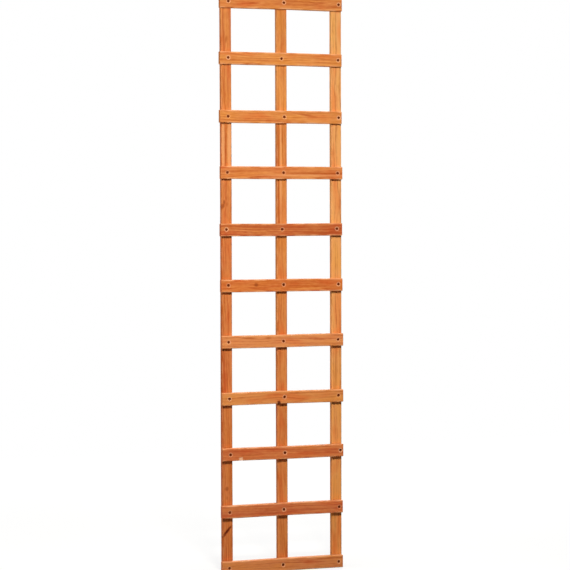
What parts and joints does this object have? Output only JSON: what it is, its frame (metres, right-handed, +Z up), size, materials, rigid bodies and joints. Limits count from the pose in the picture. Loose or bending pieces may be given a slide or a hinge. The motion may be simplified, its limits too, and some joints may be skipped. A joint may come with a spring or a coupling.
{
  "type": "plant trellis panel",
  "caption": "Tall wooden lattice panel: horizontal slats screwed across upright battens, for training climbing plants up a wall or fence.",
  "frame": {"origin": "middle of the panel's base: half-way along its width, on the plane where the slats lie against the uprights, at the level of the uprights' feet", "axes": "+X along the slats to the right as seen from the front, +Y from the slatted front to the back, +Z up along the uprights"},
  "size_m": [0.41, 0.038, 1.83],
  "materials": {
    "upright_wood": "planed softwood in a translucent orange-brown preservative stain",
    "slat_wood": "planed softwood in a translucent red-brown preservative stain",
    "screw_metal": "dark brown corrosion-resistant coating, satin"
  },
  "bodies": {
    "root": {"left_upright": "upright_wood", "middle_upright": "upright_wood", "right_upright": "upright_wood", "cross_slat_01": "slat_wood", "cross_slat_02": "slat_wood", "cross_slat_03": "slat_wood", "cross_slat_04": "slat_wood", "cross_slat_05": "slat_wood", "cross_slat_06": "slat_wood", "cross_slat_07": "slat_wood", "cross_slat_08": "slat_wood", "cross_slat_09": "slat_wood", "cross_slat_10": "slat_wood", "cross_slat_11": "slat_wood", "slat_01_screws": "screw_metal", "slat_02_screws": "screw_metal", "slat_03_screws": "screw_metal", "slat_04_screws": "screw_metal", "slat_05_screws": "screw_metal", "slat_06_screws": "screw_metal", "slat_07_screws": "screw_metal", "slat_08_screws": "screw_metal", "slat_09_screws": "screw_metal", "slat_10_screws": "screw_metal", "slat_11_screws": "screw_metal"}
  },
  "joints": []
}
